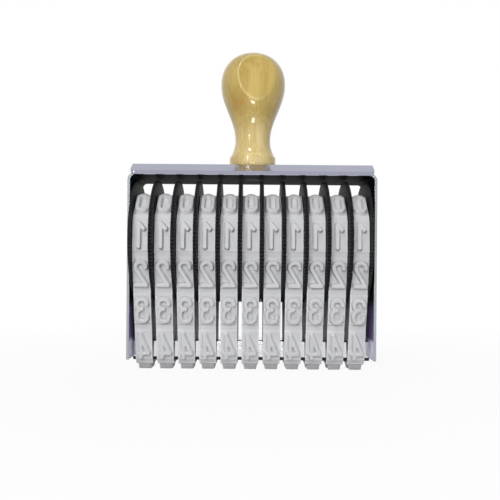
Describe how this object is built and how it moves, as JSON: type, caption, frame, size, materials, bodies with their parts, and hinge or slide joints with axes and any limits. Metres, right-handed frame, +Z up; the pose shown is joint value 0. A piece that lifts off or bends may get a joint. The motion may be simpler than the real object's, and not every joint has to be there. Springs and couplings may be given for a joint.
{
  "type": "rubber-band numbering stamp",
  "caption": "Hand stamp with a turned wooden handle: a steel frame holds a row of thumb wheels, each turning a rubber band of raised digits over a channel-shaped anvil.",
  "frame": {"origin": "centre under the frame, on the plane of the printing digits' faces", "axes": "+X along the axle, -Y the front with the row of digits 0 to 4, +Z up along the handle"},
  "size_m": [0.0918, 0.0468, 0.1216],
  "materials": {
    "polished_steel": "polished",
    "chromed_plate": "polished",
    "chromed_anvil": "bright",
    "plain_steel": "satin",
    "black_plastic": "satin",
    "black_rubber": "matte",
    "grey_rubber": "matte",
    "varnished_wood": "varnished"
  },
  "bodies": {
    "root": {"frame": "polished_steel", "top_plate": "chromed_plate", "handle": "varnished_wood", "handle_screw": "plain_steel", "axle": "plain_steel", "end_washer": "plain_steel", "spring_washer": "plain_steel", "anvil": "chromed_anvil", "anvil_cushion": "black_rubber", "anvil_rivets": "plain_steel", "band_01": "grey_rubber", "band_02": "grey_rubber", "band_03": "grey_rubber", "band_04": "grey_rubber", "band_05": "grey_rubber", "band_06": "grey_rubber", "band_07": "grey_rubber", "band_08": "grey_rubber", "band_09": "grey_rubber", "band_10": "grey_rubber", "band_11": "grey_rubber"},
    "wheel_01": {"wheel_01": "black_plastic"},
    "wheel_02": {"wheel_02": "black_plastic"},
    "wheel_03": {"wheel_03": "black_plastic"},
    "wheel_04": {"wheel_04": "black_plastic"},
    "wheel_05": {"wheel_05": "black_plastic"},
    "wheel_06": {"wheel_06": "black_plastic"},
    "wheel_07": {"wheel_07": "black_plastic"},
    "wheel_08": {"wheel_08": "black_plastic"},
    "wheel_09": {"wheel_09": "black_plastic"},
    "wheel_10": {"wheel_10": "black_plastic"},
    "wheel_11": {"wheel_11": "black_plastic"}
  },
  "joints": [
    {"name": "wheel_01_turn", "type": "hinge", "parent": "root", "child": "wheel_01", "pos_m": [-0.0404, 0, 0.0487], "axis": [1, 0, 0], "continuous": true},
    {"name": "wheel_02_turn", "type": "hinge", "parent": "root", "child": "wheel_02", "pos_m": [-0.0324, 0, 0.0487], "axis": [1, 0, 0], "continuous": true},
    {"name": "wheel_03_turn", "type": "hinge", "parent": "root", "child": "wheel_03", "pos_m": [-0.0244, 0, 0.0487], "axis": [1, 0, 0], "continuous": true},
    {"name": "wheel_04_turn", "type": "hinge", "parent": "root", "child": "wheel_04", "pos_m": [-0.0164, 0, 0.0487], "axis": [1, 0, 0], "continuous": true},
    {"name": "wheel_05_turn", "type": "hinge", "parent": "root", "child": "wheel_05", "pos_m": [-0.0084, 0, 0.0487], "axis": [1, 0, 0], "continuous": true},
    {"name": "wheel_06_turn", "type": "hinge", "parent": "root", "child": "wheel_06", "pos_m": [-0.0004, 0, 0.0487], "axis": [1, 0, 0], "continuous": true},
    {"name": "wheel_07_turn", "type": "hinge", "parent": "root", "child": "wheel_07", "pos_m": [0.0076, 0, 0.0487], "axis": [1, 0, 0], "continuous": true},
    {"name": "wheel_08_turn", "type": "hinge", "parent": "root", "child": "wheel_08", "pos_m": [0.0156, 0, 0.0487], "axis": [1, 0, 0], "continuous": true},
    {"name": "wheel_09_turn", "type": "hinge", "parent": "root", "child": "wheel_09", "pos_m": [0.0236, 0, 0.0487], "axis": [1, 0, 0], "continuous": true},
    {"name": "wheel_10_turn", "type": "hinge", "parent": "root", "child": "wheel_10", "pos_m": [0.0316, 0, 0.0487], "axis": [1, 0, 0], "continuous": true},
    {"name": "wheel_11_turn", "type": "hinge", "parent": "root", "child": "wheel_11", "pos_m": [0.0396, 0, 0.0487], "axis": [1, 0, 0], "continuous": true}
  ]
}
